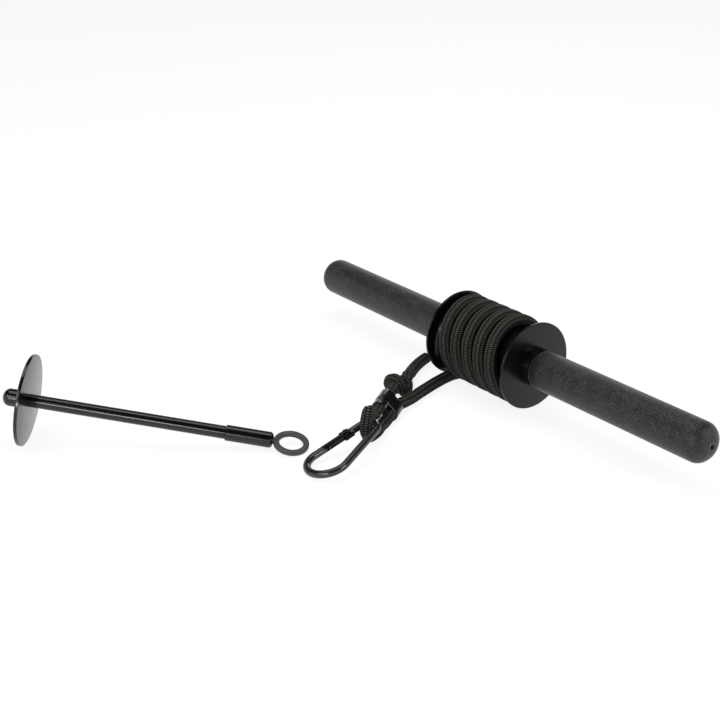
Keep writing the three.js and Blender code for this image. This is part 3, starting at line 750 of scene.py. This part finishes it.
# Binding sleeve: shrunk round both strands, drawn in between them
def makeSleeve():
    bm = bmesh.new()
    half = sleeve["spacing"] / 2
    rings = []
    outer = radius + sleeve["gap"] + sleeve["wall"]
    inner = radius + sleeve["gap"] * sleeve["innerShare"]
    length, lip, sag, shoulder = (sleeve[name] for name in ("length", "lip", "sag", "shoulder"))
    profile = [
        (0.0, inner),
        (0.0, outer - lip),
        (lip, outer - sag),
        (shoulder, outer),
        (length / 2, outer - sag),
        (length - shoulder, outer),
        (length - lip, outer - sag),
        (length, outer - lip),
        (length, inner),
    ]
    count = sleeve["sides"]
    for along, size in profile:
        ring = []
        for i in range(count):
            turn = 2 * math.pi * i / count
            flat = min(1, abs(math.cos(turn)) * sleeve["flatShare"])
            x = half * math.copysign(flat, math.cos(turn)) + size * math.cos(turn)
            waist = 1 - sleeve["waistShare"] * math.exp(-(x / sleeve["waistWidth"]) ** 2)
            ring.append(bm.verts.new((x, size * math.sin(turn) * waist, along)))
        rings.append(ring)
    edges = []
    for ring in rings:
        edges.append([bm.edges.new((ring[i], ring[(i + 1) % count])) for i in range(count)])
    for one, other in zip(edges, edges[1:] + edges[:1]):
        bmesh.ops.bridge_loops(bm, edges=one + other)
    return finishPiece("binding_band", meshOf(bm, "binding_band", sleeveFrame), "roller", shrinkFinish,
                       ["binding_sleeve"], sharp=45)


def makeWrap():
    low = -sleeve["gap"] - wrap["length"]
    high = -sleeve["gap"]
    inner = radius + sleeve["gap"] * wrap["innerShare"]
    outer = radius + sleeve["gap"] + wrap["wall"]
    edge = wrap["edge"]
    profile = [
        (low, inner),
        (low, outer - edge),
        (low + edge, outer),
        ((low + high) / 2, outer - wrap["sag"]),
        (high - edge, outer),
        (high, outer - edge),
        (high, inner),
    ]
    bm = spun(profile, wrap["sides"], closedProfile=True)
    toStrand = Matrix.Translation((-sleeve["spacing"] / 2, 0, 0)) @ Matrix.Rotation(-math.pi / 2, 4, "Y")
    place = sleeveFrame @ toStrand
    return finishPiece("wrap_band", meshOf(bm, "wrap_band", place), "roller", shrinkFinish,
                       ["strand_wrap"], sharp=45)


sleevePiece = makeSleeve()
wrapPiece = makeWrap()
print("rope and its bands made")


# Bar: the grips
grip = {
    "length": 467 * mm,
    "spool": 95 * mm,
    "gap": 0.3 * mm,
    "bore": 12.8 * mm,
    "radius": 16.5 * mm,
    "collar": 7.2 * mm,
    "endDepth": 2.2 * mm,
    "endLength": 6 * mm,
    "dome": 12 * mm,
    "endWall": 7 * mm,
    "vent": 1.75 * mm,
    "lip": 0.5 * mm,
    "lipShare": 0.3,
    "ringShares": (0.25, 0.5, 0.75),
    "endSteps": 12,
    "domeSteps": 20,
    "sides": 96,
}


def makeGrips():
    start = grip["spool"] / 2 + grip["collar"] + grip["gap"]
    full = start + grip["endLength"]
    end = grip["length"] / 2
    vent = grip["vent"]
    lip = grip["lip"]
    lipIn = lip * grip["lipShare"]
    profile = [
        (start, grip["bore"]),
        *arc(full, grip["radius"] - grip["endDepth"], grip["endLength"], grip["endDepth"], -90, 0,
             grip["endSteps"]),
        *[(full + (end - grip["dome"] - full) * share, grip["radius"]) for share in grip["ringShares"]],
        *arc(end - grip["dome"], vent + lip, grip["dome"], grip["radius"] - vent - lip, 0, 90,
             grip["domeSteps"]),
        (end - lipIn, vent + lipIn),
        (end - lip, vent),
        (end - grip["endWall"], vent),
        (end - grip["endWall"], grip["bore"]),
    ]
    for name, turn in (("right", 0), ("left", math.pi)):
        place = Matrix.Translation(barAxis) @ Matrix.Rotation(turn, 4, "Z")
        mesh = meshOf(spun(profile, grip["sides"], closedProfile=True), f"{name}_foam_grip", place)
        finishPiece(f"{name}_foam_grip", mesh, "roller", foamFinish, [f"{name}_grip"])


makeGrips()

# Spool: two halves that meet under the rope
spool = {
    "width": 95 * mm,
    "flange": 37.6 * mm,
    "thickness": 2 * mm,
    "edge": 0.5 * mm,
    "flare": 6.5 * mm,
    "hub": 26.1 * mm,
    "collar": 16.5 * mm,
    "collarLength": 7.2 * mm,
    "collarEdge": 0.12 * mm,
    "bore": 12.8 * mm,
    "gap": 0.15 * mm,
    "spigot": 17.2 * mm,
    "spigotLength": 6 * mm,
    "ropeHole": 5.5 * mm,
    "holeAim": 12,  # the ring of the rope that the hole is aimed at, and how many times as far it goes
    "holeReach": 3,
    "flareSteps": 14,
    "sides": 128,
    "holeSides": 40,
}


def makeSpool():
    outer = spool["width"] / 2
    inner = outer - spool["thickness"]
    edge = spool["edge"]
    end = outer + spool["collarLength"]
    soft = spool["collarEdge"]
    flare = spool["flare"]
    rim = [
        *arc(inner - flare, spool["hub"] + flare, flare, -flare, 0, 90, spool["flareSteps"]),
        (inner, spool["flange"] - edge),
        *arc(inner + edge, spool["flange"] - edge, edge, edge, -90, 0),
        *arc(outer - edge, spool["flange"] - edge, edge, edge, 0, 90),
        (outer, spool["collar"]),
        *arc(end - soft, spool["collar"] - soft, soft, soft, 0, 90),
        (end, spool["bore"]),
    ]
    socketEnd = spool["spigotLength"] + 2 * spool["gap"]
    socketRadius = spool["spigot"] + 2 * spool["gap"]
    socket = [
        (socketEnd, spool["bore"]),
        (socketEnd, socketRadius),
        (spool["gap"], socketRadius),
        (spool["gap"], spool["hub"]),
    ]
    spigot = [
        (-spool["spigotLength"], spool["bore"]),
        (-spool["spigotLength"], spool["spigot"]),
        (spool["gap"], spool["spigot"]),
        (spool["gap"], spool["hub"]),
    ]
    along = Matrix.Translation(barAxis)
    right = meshOf(spun([*socket, *rim], spool["sides"], closedProfile=True), "right_half", along)
    ropeStart = Vector(ropePath[0])
    holeEnd = ropeStart + (Vector(ropePath[spool["holeAim"]]) - ropeStart) * spool["holeReach"]
    hole = roundBar(ropeStart, holeEnd, spool["ropeHole"], spool["holeSides"])
    right = combine(right, [hole], "DIFFERENCE")
    finishPiece("right_spool_piece", right, "roller", plasticFinish, ["right_spool_half"])
    turned = along @ Matrix.Rotation(math.pi, 4, "Z")
    left = meshOf(spun([*spigot, *rim], spool["sides"], closedProfile=True), "left_half", turned)
    finishPiece("left_spool_piece", left, "roller", plasticFinish, ["left_spool_half"])


makeSpool()
print("bar made")

# Snap hook, in the gate arm's own frame: X along the arm to the hinge, Z along the hinge's pin
hook = {
    "wire": 6.2 * mm,
    "wideBow": 16.7 * mm,
    "narrowBow": 8.8 * mm,
    "spacing": 46.8 * mm,
    "shoulder": 8 * mm,
    "tongue": 6 * mm,
    "latchInset": 3.4 * mm,
    "latchPin": 0.9 * mm,
    "gap": 0.5 * mm,
    "pivot": 32 * mm,
    "tongueThickness": 2.4 * mm,
    "rivet": 1.3 * mm,
    "bore": 1.6 * mm,
    "boreDepth": 11 * mm,
    "clearance": 0.3 * mm,
    "edge": 0.5 * mm,
    "overrun": 2 * mm,  # how far the cutting boxes and bars stand out
    "wideSteps": 40,
    "narrowSteps": 32,
    "wireSides": 32,
    "roundSides": 48,
    "holeSides": 32,
    "boreSides": 24,
}
hingePlace = middle("gate_rivet")
hingeAxis = Vector(joints["gate_hinge"]["axis"]).normalized()
armAlong = (hingePlace - middle("gate_latch_pin")).normalized()
hingeAxis = (hingeAxis - armAlong * hingeAxis.dot(armAlong)).normalized()
armTurn = Matrix((armAlong, hingeAxis.cross(armAlong), hingeAxis)).transposed().to_4x4()
armFrame = Matrix.Translation(hingePlace - armAlong * hook["pivot"]) @ armTurn


def box(low, high):
    bm = bmesh.new()
    size = [b - a for a, b in zip(low, high)]
    centre = [(a + b) / 2 for a, b in zip(low, high)]
    bmesh.ops.create_cube(bm, size=1, matrix=Matrix.Translation(centre) @ Matrix.Diagonal((*size, 1)))
    return meshOf(bm, "box")


def wireTube(points, radius, sides, name):
    curve = bpy.data.curves.new(name, "CURVE")
    curve.dimensions = "3D"
    spline = curve.splines.new("POLY")
    spline.points.add(len(points) - 1)
    for spot, point in zip(spline.points, points):
        spot.co = (*point, 1)
    curve.bevel_depth = radius
    curve.bevel_resolution = sides // 4 - 1  # points between the ends of a quarter
    curve.use_fill_caps = True
    holder = bpy.data.objects.new(name, curve)
    mesh = bpy.data.meshes.new_from_object(holder)
    bpy.data.objects.remove(holder)
    bm = bmesh.new()
    bm.from_mesh(mesh)
    return meshOf(bm, name)


def bow(centre, radius, first, sweep, steps):
    turns = [first + sweep * i / steps for i in range(steps + 1)]
    return [centre + radius * Vector((math.cos(turn), math.sin(turn), 0)) for turn in turns]


def hookLine():
    reach = math.sqrt(hook["spacing"] ** 2 - (hook["wideBow"] - hook["narrowBow"]) ** 2)
    lean = math.asin((hook["wideBow"] - hook["narrowBow"]) / hook["spacing"])
    wide = Vector((0, -hook["wideBow"], 0))
    narrow = Vector((reach, -hook["narrowBow"], 0))
    start = math.pi / 2
    sweep = math.pi + 2 * lean
    return [
        Vector((hook["shoulder"] + hook["tongue"], 0, 0)),
        Vector((hook["shoulder"] / 2, 0, 0)),
        *bow(wide, hook["wideBow"], start, sweep, hook["wideSteps"]),
        *bow(narrow, hook["narrowBow"], start + sweep, math.pi - 2 * lean, hook["narrowSteps"]),
        Vector(((reach + hook["pivot"]) / 2, 0, 0)),
        Vector((hook["pivot"], 0, 0)),
    ]


def makeHook():
    wire = hook["wire"] / 2
    overrun = hook["overrun"]
    far = wire + overrun
    half = hook["tongueThickness"] / 2
    body = wireTube(hookLine(), wire, hook["wireSides"], "hook_wire")
    nose = hook["shoulder"] + hook["tongue"] + overrun
    shoulder = hook["pivot"] + wire + hook["gap"]
    latch = hook["shoulder"] + hook["latchInset"]
    slack = hook["clearance"]
    cuts = []
    for low, high in ((half, far), (-far, -half)):
        cuts.append(box((hook["shoulder"], -far, low), (nose, far, high)))
        cuts.append(box((hook["pivot"] - overrun, -far, low), (shoulder, far, high)))
    latchHalf = hook["latchPin"] + slack
    cuts.append(box((latch - latchHalf, -far, -far), (latch + latchHalf, latchHalf, far)))
    pivot = Vector((hook["pivot"], 0, 0))
    up = zAxis * far
    tongue = roundBar(pivot - zAxis * half, pivot + zAxis * half, wire, hook["roundSides"])
    body = combine(body, cuts, "DIFFERENCE")
    body = combine(body, [tongue], "UNION")
    rivetHole = roundBar(pivot - up, pivot + up, hook["rivet"] + slack, hook["holeSides"])
    body = combine(body, [rivetHole], "DIFFERENCE")
    body.transform(armFrame)
    finishPiece("hook_wire", body, "snap_hook", wireFinish, ["hook_body"])

    gateStart = hook["shoulder"] + hook["gap"]
    edge = hook["edge"]
    gate = meshOf(spun([
        (gateStart, 0),
        *arc(gateStart + edge, wire - edge, edge, edge, -90, 0),
        (hook["pivot"] + wire, wire),
        (hook["pivot"] + wire, 0),
    ], hook["roundSides"]), "gate")
    straight = box((gateStart - overrun, -far, -far), (hook["pivot"], far, far))
    end = roundBar(pivot - up, pivot + up, wire, hook["roundSides"])
    gate = combine(gate, [combine(straight, [end], "UNION")], "INTERSECT")
    slot = half + slack
    slotBottom = hook["pivot"] - wire - hook["gap"]
    noseEnd = hook["shoulder"] + hook["tongue"] + hook["gap"]
    latchAt = Vector((latch, 0, 0))
    boreEnd = Vector((slotBottom - hook["boreDepth"], 0, 0))
    boreMouth = Vector((slotBottom + overrun, 0, 0))
    gate = combine(gate, [
        box((gateStart - overrun, -far, -slot), (noseEnd, far, slot)),
        box((slotBottom, -far, -slot), (hook["pivot"] + far, far, slot)),
        roundBar(boreEnd, boreMouth, hook["bore"], hook["boreSides"]),
        roundBar(latchAt - up, latchAt + up, hook["latchPin"] + slack, hook["boreSides"]),
        roundBar(pivot - up, pivot + up, hook["rivet"] + slack, hook["holeSides"]),
    ], "DIFFERENCE")
    gate.transform(armFrame)
    finishPiece("gate_wire", gate, "hook_gate_body", gateFinish, ["hook_gate"])


makeHook()
print("snap hook made")

# Weight pin, in its own frame: X from the disc's seat face to the eye ring
pin = {
    "disc": 36.7 * mm,
    "discThickness": 2.8 * mm,
    "discEdge": 0.5 * mm,
    "seatDepth": 0.8 * mm,
    "shaft": 5.25 * mm,
    "shaftLength": 156.4 * mm,
    "thread": 4 * mm,
    "washer": 9 * mm,
    "washerThickness": 1.5 * mm,
    "nut": 7.1 * mm,
    "nutLength": 16.5 * mm,
    "nutDome": 6 * mm,
    "nutCrown": 4 * mm,
    "coupler": 6.4 * mm,
    "couplerLength": 37.5 * mm,
    "chamfer": 1.6 * mm,
    "threadReach": 15 * mm,
    "neck": 3 * mm,
    "neckLength": 0.4 * mm,
    "ring": 11.9 * mm,
    "ringWidth": 4.7 * mm,
    "ringThickness": 3.9 * mm,
    "ringCorner": 1.2 * mm,
    "ringRoll": 10.8,
    "gap": 0.3 * mm,
    "soft": 0.25 * mm,
    "softSteps": 3,
    "domeSteps": 16,
    "cornerSteps": 5,
    "sides": 64,
    "discSides": 160,
    "ringSides": 96,
    "studSides": 40,
}
pinAlong = Vector(seatMount["axis"]).normalized()
pinSide = zAxis.cross(pinAlong).normalized()
pinTurn = Matrix((pinAlong, pinSide, pinAlong.cross(pinSide))).transposed().to_4x4()
pinFrame = Matrix.Translation(middle("pin_disc") + pinAlong * pin["discThickness"] / 2) @ pinTurn


def pinPiece(name, profile, node, sides=pin["sides"], closedProfile=True, finish=paintFinish):
    mesh = meshOf(spun(profile, sides, closedProfile=closedProfile), name, pinFrame)
    return finishPiece(name, mesh, "weight_pin", finish, [node])


def makePin():
    gap = pin["gap"]
    bore = pin["thread"] + gap
    edge = pin["discEdge"]
    back = -pin["discThickness"]
    pinPiece("disc_plate", [
        (back, bore),
        *arc(back + edge, pin["disc"] - edge, edge, edge, -90, 0),
        *arc(-edge, pin["disc"] - edge, edge, edge, 0, 90),
        (0, pin["shaft"] + gap),
        (-pin["seatDepth"], pin["shaft"] + gap),
        (-pin["seatDepth"], bore),
    ], "pin_disc", pin["discSides"])
    washerFace = back - gap
    washerBack = washerFace - pin["washerThickness"]
    soft = pin["soft"]
    pinPiece("plate_washer", [
        (washerBack, bore),
        *arc(washerBack + soft, pin["washer"] - soft, soft, soft, -90, 0, pin["softSteps"]),
        *arc(washerFace - soft, pin["washer"] - soft, soft, soft, 0, 90, pin["softSteps"]),
        (washerFace, bore),
    ], "disc_washer", finish=zincFinish)
    nutFace = washerBack - gap
    nutEnd = nutFace - pin["nutLength"]
    pinPiece("domed_nut", [
        *arc(nutEnd + pin["nutDome"], 0, pin["nutDome"], pin["nut"], -90, 0, pin["domeSteps"]),
        (nutFace - soft, pin["nut"]),
        (nutFace, pin["nut"] - soft),
        (nutFace, bore),
        (nutEnd + pin["nutCrown"], bore),
        (nutEnd + pin["nutCrown"], 0),
    ], "cap_nut", closedProfile=False)
    shoulder = gap - pin["seatDepth"]
    shaftStart = nutEnd + pin["nutCrown"] + gap
    shaftEnd = pin["shaftLength"] - gap
    threadEnd = pin["shaftLength"] + pin["threadReach"]
    pinPiece("shaft_bar", [
        (shaftStart, 0),
        (shaftStart, pin["thread"]),
        (shoulder, pin["thread"]),
        (shoulder, pin["shaft"]),
        (shaftEnd - soft, pin["shaft"]),
        (shaftEnd, pin["shaft"] - soft),
        (shaftEnd, pin["thread"]),
        (threadEnd, pin["thread"]),
        (threadEnd, 0),
    ], "pin_shaft", closedProfile=False)
    end = pin["shaftLength"] + pin["couplerLength"]
    pinPiece("coupling_nut", [
        (pin["shaftLength"], bore),
        (pin["shaftLength"], pin["coupler"] - soft),
        (pin["shaftLength"] + soft, pin["coupler"]),
        (end - pin["chamfer"], pin["coupler"]),
        (end, pin["coupler"] - pin["chamfer"]),
        (end, bore),
    ], "eye_coupler")
    ringAt = end + pin["neckLength"] + pin["ring"] + pin["ringWidth"] / 2
    insetR = pin["ringWidth"] / 2 - pin["ringCorner"]
    insetX = pin["ringThickness"] / 2 - pin["ringCorner"]
    corner = pin["ringCorner"]
    section = []
    for start, x, r in ((0, 1, 1), (90, 1, -1), (180, -1, -1), (270, -1, 1)):
        section += arc(x * insetX, pin["ring"] + r * insetR, corner, corner, start, start + 90,
                       pin["cornerSteps"])
    toRing = Matrix.Translation((ringAt, 0, 0)) @ Matrix.Rotation(-math.pi / 2, 4, "Y")
    ring = meshOf(spun(section, pin["ringSides"], closedProfile=True), "ring", toRing)
    stud = meshOf(spun([
        (end - pin["threadReach"], 0),
        (end - pin["threadReach"], pin["thread"]),
        (end - pin["chamfer"], pin["thread"]),
        (end - pin["chamfer"] + pin["thread"] - pin["neck"], pin["neck"]),
        (ringAt - pin["ring"], pin["neck"]),
        (ringAt - pin["ring"], 0),
    ], pin["studSides"]), "stud")
    ring = combine(ring, [stud], "UNION")
    ring.transform(pinFrame @ Matrix.Rotation(math.radians(pin["ringRoll"]), 4, "X"))
    finishPiece("ring_eye", ring, "weight_pin", wornFinish, ["eye_ring"])


makePin()
print("weight pin made")

# Nodes that keep their own shape
for node, finish in {
    "core_tube": steelFinish,
    "left_drive_pin": steelFinish,
    "right_drive_pin": steelFinish,
    "left_tube_plug": plugFinish,
    "right_tube_plug": plugFinish,
    "gate_rivet": wireFinish,
    "gate_latch_pin": wireFinish,
    "gate_spring": steelFinish,
    "gate_plunger": steelFinish,
}.items():
    slots = frame["nodes"][node].data.materials
    slots.clear()
    slots.append(finish)


# Floor, world and lamps
studio = {
    "floor": "#e4e4e4",
    "floorSize": 12,
    "floorDrop": 0.2 * mm,
    "floorRoughness": 0.9,
    "floorGlow": 1.08,
    "glowShare": 0.8,
    "ambient": 0.4,
    "white": (1, 1, 1, 1),
    "mirrored": {0.0: "#ffffff", 0.22: "#ffffff", 0.45: "#202123"},  # white at the floor, dark overhead
}


def makeFloor():
    bm = bmesh.new()
    bmesh.ops.create_grid(bm, x_segments=1, y_segments=1, size=studio["floorSize"])
    mesh = meshOf(bm, "floor", Matrix.Translation((0, 0, -studio["floorDrop"])))
    floor = bpy.data.objects.new("floor", mesh)
    scene.collection.objects.link(floor)
    material, tree, surface = newMaterial("floor paper")
    setInputs(tree, surface, {"Base Color": fromHex(studio["floor"]), "Roughness": studio["floorRoughness"]})
    rays = addNode(tree, "LightPath").outputs
    seen = rays["Is Camera Ray"]
    for other in ("Is Glossy Ray", "Is Transmission Ray"):
        seen = addNode(tree, "Math", {0: seen, 1: rays[other]}, operation="MAXIMUM")
    share = addNode(tree, "Math", {0: seen, 1: studio["glowShare"]}, operation="MULTIPLY")
    glow = addNode(tree, "Emission", {"Color": studio["white"], "Strength": studio["floorGlow"]})
    mixed = addNode(tree, "MixShader", {0: share, 1: surface, 2: glow})
    output = next(node for node in tree.nodes if node.type == "OUTPUT_MATERIAL")
    setInputs(tree, output, {"Surface": mixed})
    floor.data.materials.append(material)


def makeWorld():
    world = bpy.data.worlds.new("studio")
    scene.world = world
    world.use_nodes = True
    tree = world.node_tree
    tree.nodes.clear()
    rays = addNode(tree, "LightPath").outputs
    direction = addNode(tree, "TexCoord").outputs["Generated"]
    height = addNode(tree, "SeparateXYZ", {"Vector": direction}).outputs["Z"]
    mirrored = addNode(tree, "ValToRGB", {"Fac": height}, studio["mirrored"])
    ambient = addNode(tree, "Background", {"Color": studio["white"], "Strength": studio["ambient"]})
    glossy = addNode(tree, "Background", {"Color": mirrored, "Strength": 1.0})
    backdrop = addNode(tree, "Background", {"Color": studio["white"], "Strength": 1.0})
    lighting = addNode(tree, "MixShader", {0: rays["Is Glossy Ray"], 1: ambient, 2: glossy})
    seen = addNode(tree, "Math", {
        0: rays["Is Camera Ray"], 1: rays["Is Transmission Ray"]}, operation="MAXIMUM")
    shown = addNode(tree, "MixShader", {0: seen, 1: lighting, 2: backdrop})
    addNode(tree, "OutputWorld", {"Surface": shown})


lamps = {
    "top softbox": {"place": (-0.3, 0.1, 1.3), "aim": (0, 0, 0), "size": (1.2, 0.7), "power": 6},
    # lights without a highlight
    "top fill": {"place": (-0.3, 0.1, 1.3), "aim": (0, 0, 0), "size": (1.2, 0.7), "power": 11,
                 "mirrored": False},
    "front softbox": {"place": (0.2, -1.3, 0.9), "aim": (0, 0, 0.03), "size": (0.9, 0.6), "power": 7},
    "front strip": {"place": (0.86, -1.31, 0.42), "aim": (-0.05, -0.08, 0.02), "size": (0.5, 0.2),
                    "power": 5},
    "side softbox": {"place": (1.2, 0.6, 0.8), "aim": (0.05, 0.15, 0.03), "size": (0.6, 0.8), "power": 7},
    "back softbox": {"place": (-1.1, 1.35, 0.72), "aim": (0.05, 0.17, 0.04), "size": (0.6, 0.22),
                     "power": 1.6},
}


def addLamp(name, place, aim, size, power, mirrored=True):
    data = bpy.data.lights.new(name, "AREA")
    data.shape = "RECTANGLE"
    data.size, data.size_y = size
    data.energy = power
    lamp = bpy.data.objects.new(name, data)
    lamp.location = place
    lamp.visible_glossy = mirrored
    lamp.rotation_euler = (Vector(aim) - Vector(place)).to_track_quat("-Z", "Y").to_euler()
    scene.collection.objects.link(lamp)


makeFloor()
makeWorld()
for lampName, lamp in lamps.items():
    addLamp(lampName, **lamp)
scene.view_settings.view_transform = "Standard"
print("studio made")
